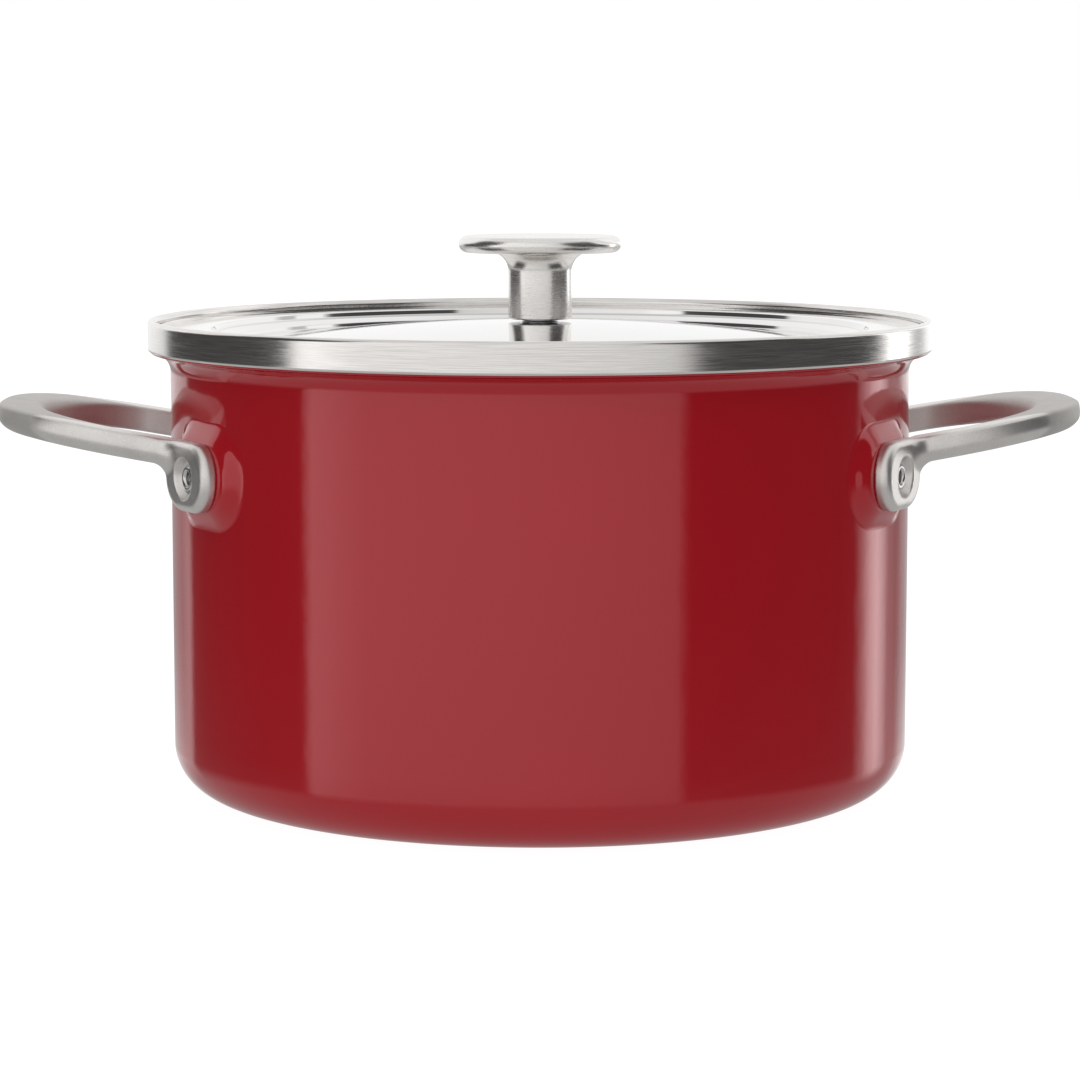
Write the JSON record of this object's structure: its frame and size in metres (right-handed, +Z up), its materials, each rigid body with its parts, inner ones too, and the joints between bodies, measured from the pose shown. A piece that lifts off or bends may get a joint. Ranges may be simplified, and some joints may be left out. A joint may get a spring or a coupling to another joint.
{
  "type": "stock pot",
  "caption": "Round enamelled steel stock pot with a steel rim ring, riveted loop handles and a lift-off metal lid with a disc knob.",
  "frame": {"origin": "centre of the flat base, on the surface that the pot stands on", "axes": "+Z up along the pot's axis, +X through both handles, +Y to the rear"},
  "size_m": [0.358, 0.2596, 0.1838],
  "materials": {
    "enamel": "glossy vitreous enamel on steel",
    "rim_ring_steel": "brushed around the rim",
    "lid_steel": "polished stainless steel",
    "knob_steel": "satin stainless steel",
    "handle_steel": "satin cast stainless steel",
    "rivet_steel": "plain stainless steel",
    "hardware_steel": "plain steel hardware"
  },
  "bodies": {
    "pot": {"pot_body": "enamel", "rim_ring": "rim_ring_steel", "pad_right_front": "enamel", "pad_right_rear": "enamel", "pad_left_front": "enamel", "pad_left_rear": "enamel", "handle_right": "handle_steel", "handle_left": "handle_steel", "rivet_right_front": "rivet_steel", "rivet_right_rear": "rivet_steel", "rivet_left_front": "rivet_steel", "rivet_left_rear": "rivet_steel"},
    "lid": {"lid_pan": "lid_steel", "knob": "knob_steel", "knob_seat": "hardware_steel", "knob_screw": "hardware_steel", "screw_washer": "hardware_steel"}
  },
  "joints": [
    {"name": "lid_lift", "type": "slide", "parent": "pot", "child": "lid", "axis": [0, 0, 1], "range_m": [0, 0.3]}
  ]
}
